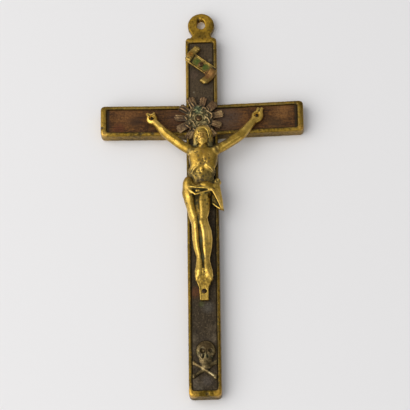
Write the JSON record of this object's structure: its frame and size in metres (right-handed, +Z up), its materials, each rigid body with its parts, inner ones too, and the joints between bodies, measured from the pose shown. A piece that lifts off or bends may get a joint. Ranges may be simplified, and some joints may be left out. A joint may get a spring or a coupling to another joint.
{
  "type": "hanging crucifix",
  "caption": "Wall crucifix: a cast brass tray cross with wood inlays, a hanging eye and riveted castings of the figure, a glory, a titulus ribbon and a skull over crossed bones.",
  "frame": {"origin": "on the axis of the hanging eye, at the back face", "axes": "+Z up along the upright, +X to the viewer's right along the arms, +Y backwards to the wall, so the figure looks along -Y"},
  "size_m": [0.068, 0.0111, 0.1379],
  "materials": {
    "frame_brass": "aged, olive patina, rubbed on the rim",
    "dark_wood": "dark stained, worn, straight grain",
    "red_wood": "red-brown stained, worn, straight grain",
    "figure_brass": "rubbed bright with dark hollows",
    "titulus_brass": "aged with green hollows",
    "glory_brass": "dark brown patina",
    "skull_brass": "dark brown patina, rubbed on the high spots",
    "rivet_brass": "dark brown patina"
  },
  "bodies": {
    "root": {"cross_frame": "frame_brass", "upright_inlay": "dark_wood", "left_arm_inlay": "red_wood", "right_arm_inlay": "red_wood", "corpus": "figure_brass", "titulus_scroll": "titulus_brass", "glory": "glory_brass", "skull_and_crossbones": "skull_brass", "left_hand_rivet": "rivet_brass", "right_hand_rivet": "rivet_brass", "foot_rivet": "rivet_brass", "titulus_rivet": "rivet_brass", "glory_rivet": "rivet_brass"}
  },
  "joints": []
}
